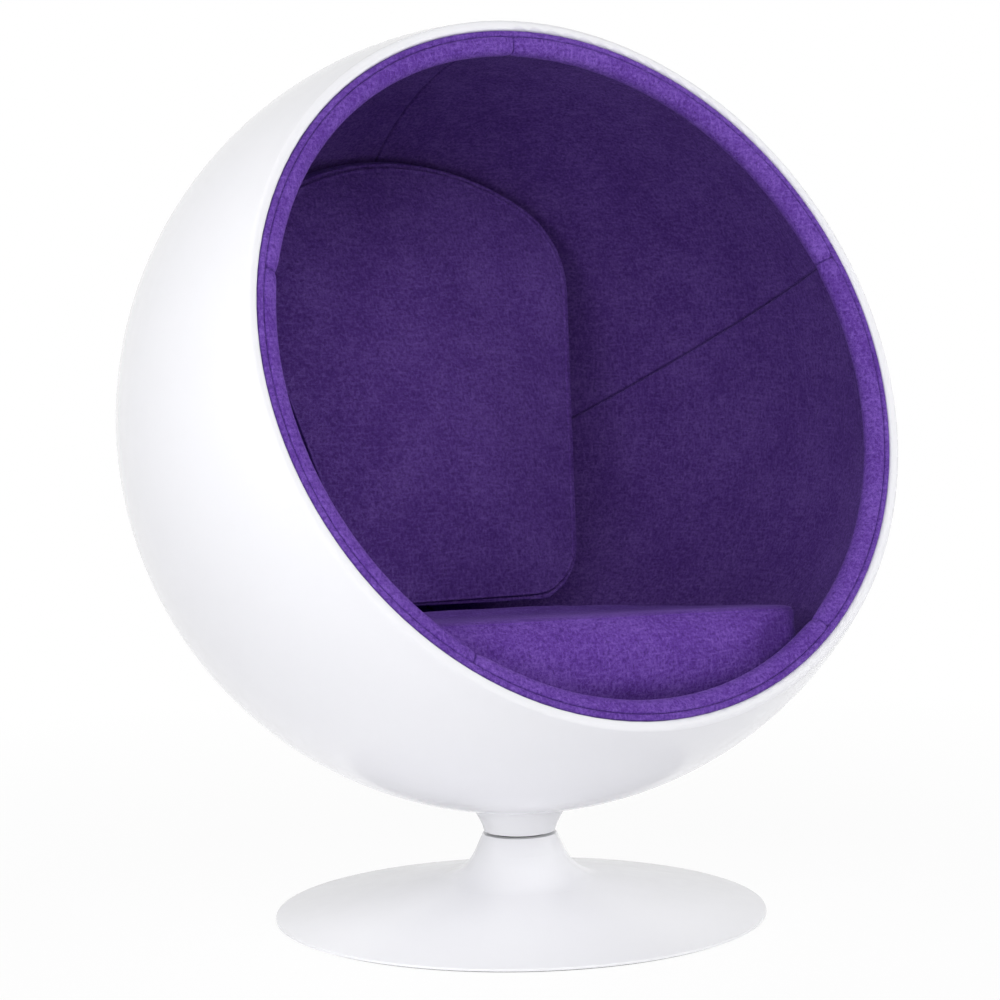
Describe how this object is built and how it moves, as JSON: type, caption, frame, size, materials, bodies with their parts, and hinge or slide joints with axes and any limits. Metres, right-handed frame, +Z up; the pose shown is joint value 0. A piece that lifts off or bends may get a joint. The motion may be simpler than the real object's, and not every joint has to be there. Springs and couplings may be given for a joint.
{
  "type": "ball chair",
  "caption": "Lounge chair in the form of a ball: a gloss shell cut open at a slant, lined and cushioned inside, that turns on a round trumpet foot.",
  "frame": {"origin": "on the swivel axis at floor level", "axes": "+Z up along the swivel axis, the open front of the ball faces -Y, +X to the right when looking into the chair along +Y"},
  "size_m": [1.0498, 0.897, 1.1938],
  "materials": {
    "shell_white": "high gloss lacquered moulding",
    "foot_white": "gloss white enamel",
    "wool": "felted violet wool",
    "foam": "open-cell upholstery foam",
    "felt": "pressed felt",
    "steel": "turned and oiled",
    "zinc": "zinc plated",
    "bearing_steel": "ground",
    "brass": "pressed",
    "nylon": "natural",
    "plywood": "bare birch plywood"
  },
  "bodies": {
    "base": {"floor_pad": "felt", "pedestal": "foot_white", "base_plate": "steel", "swivel_tube": "steel", "tube_bolts": "zinc", "lower_bush": "nylon", "upper_bush": "nylon", "lower_race": "bearing_steel"},
    "bearing": {"bearing_cage": "brass", "bearing_balls": "bearing_steel"},
    "ball": {"upper_race": "bearing_steel", "spindle": "steel", "retaining_washer": "zinc", "retaining_ring": "zinc", "collar": "foot_white", "mounting_disc": "plywood", "mounting_bolts": "zinc", "mounting_washers": "zinc", "shell": "shell_white", "lining_foam": "foam", "rim_foam": "foam", "rim_welt": "wool", "lining_gore_1": "wool", "lining_gore_2": "wool", "lining_gore_3": "wool", "lining_gore_4": "wool", "lining_gore_5": "wool", "rim_band_1": "wool", "rim_band_2": "wool", "rim_band_3": "wool", "rim_band_4": "wool", "rim_band_5": "wool", "seat_cover": "wool", "seat_foam": "foam", "back_cover": "wool", "back_foam": "foam"}
  },
  "joints": [
    {"name": "swivel", "type": "hinge", "parent": "base", "child": "ball", "pos_m": [0, 0, 0.11375], "axis": [0, 0, 1], "continuous": true},
    {"name": "bearing_roll", "type": "hinge", "parent": "base", "child": "bearing", "pos_m": [0, 0, 0.11375], "axis": [0, 0, 1], "continuous": true}
  ],
  "couplings": [
    {"joint": "bearing_roll", "follows": "swivel", "ratio": 0.5}
  ]
}
